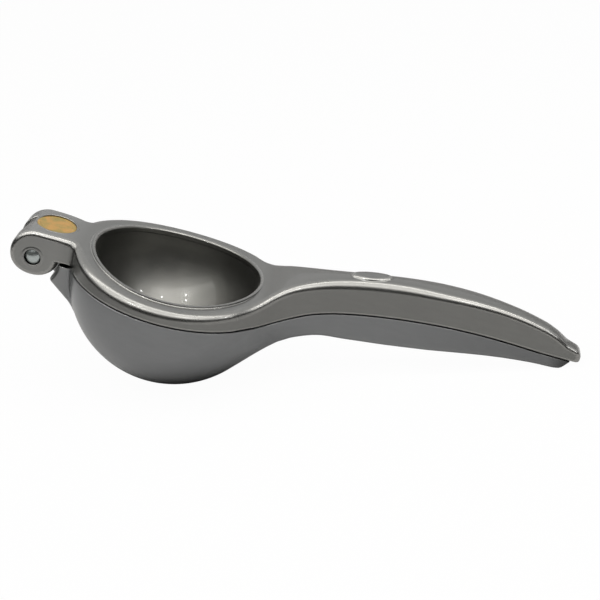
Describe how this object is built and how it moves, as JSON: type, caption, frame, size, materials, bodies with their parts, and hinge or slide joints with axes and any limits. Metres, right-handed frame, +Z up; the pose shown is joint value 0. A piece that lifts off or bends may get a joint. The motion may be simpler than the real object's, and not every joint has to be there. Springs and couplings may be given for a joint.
{
  "type": "hinged citrus squeezer",
  "caption": "Hand squeezer for citrus halves: an upper arm with a press cup and a lower arm with a drained bowl turn on one pin, with long handles at the other end.",
  "frame": {"origin": "centre of the closed tool's footprint, on the plane that it lies on", "axes": "+X runs from the hinge to the handles' tips, +Y to the left of that, +Z up; the tool is mirror-symmetric about Y = 0"},
  "size_m": [0.2032, 0.078, 0.0644],
  "materials": {
    "cast_grey": "satin cast aluminium, polished on the edges",
    "cast_grey_low": "satin cast aluminium",
    "pin_steel": "satin steel",
    "label_gold": "plain gold foil disc, bare"
  },
  "bodies": {
    "lower": {"lower_arm": "cast_grey_low"},
    "upper": {"upper_arm": "cast_grey", "hinge_pin": "pin_steel", "label": "label_gold"}
  },
  "joints": [
    {"name": "arm_hinge", "type": "hinge", "parent": "lower", "child": "upper", "pos_m": [-0.093, 0, 0.05409], "axis": [0, -1, 0], "range_deg": [0, 120]}
  ]
}
